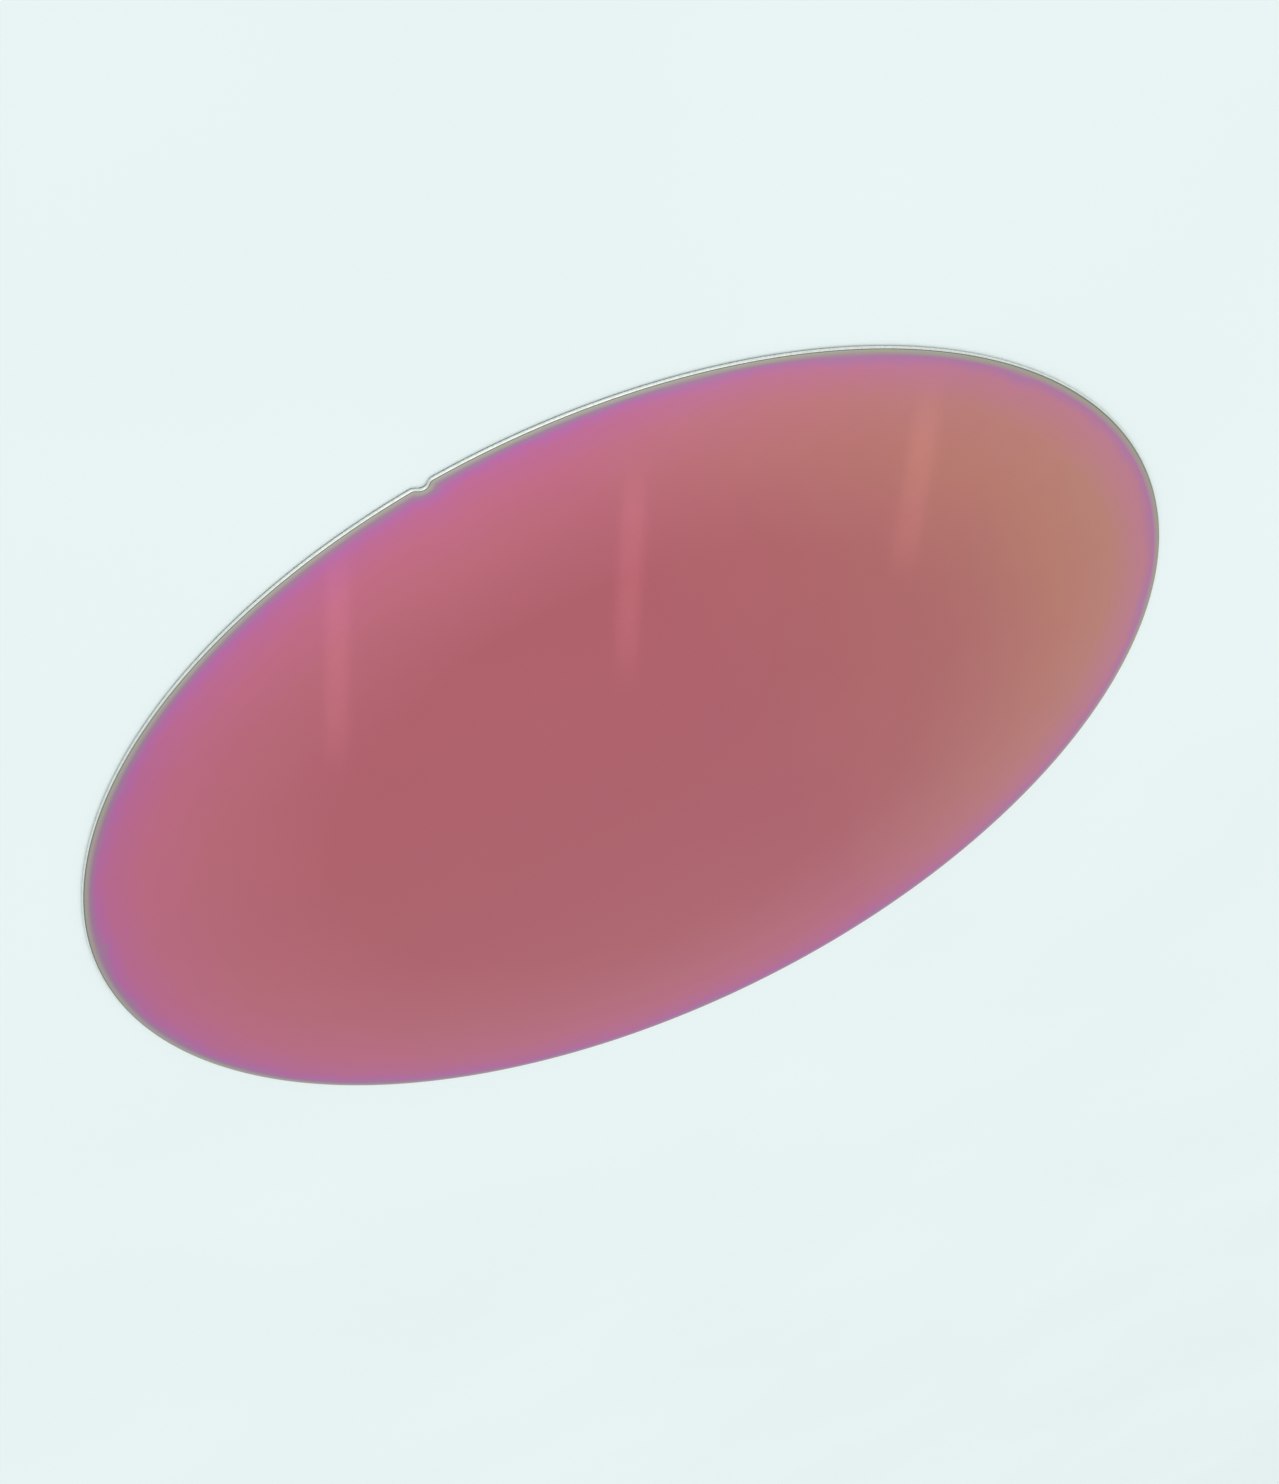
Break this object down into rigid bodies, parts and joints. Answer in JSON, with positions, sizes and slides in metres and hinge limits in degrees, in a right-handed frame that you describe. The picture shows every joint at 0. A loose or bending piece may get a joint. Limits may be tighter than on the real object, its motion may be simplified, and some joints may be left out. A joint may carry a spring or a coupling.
{
  "type": "silicon wafer",
  "caption": "Thin round disc of polished silicon with a ground rim and a V notch, the blank that microchips are made on.",
  "frame": {"origin": "centre of the back face", "axes": "+Z out of the polished front face, -Y through the middle of the notch"},
  "size_m": [0.2, 0.2, 0.0007],
  "materials": {
    "coated_silicon": "mirror polish under a clear film that looks rose, turning magenta, violet and grey-green at the ground rim; bare silvery nose"
  },
  "bodies": {
    "root": {"wafer": "coated_silicon"}
  },
  "joints": []
}
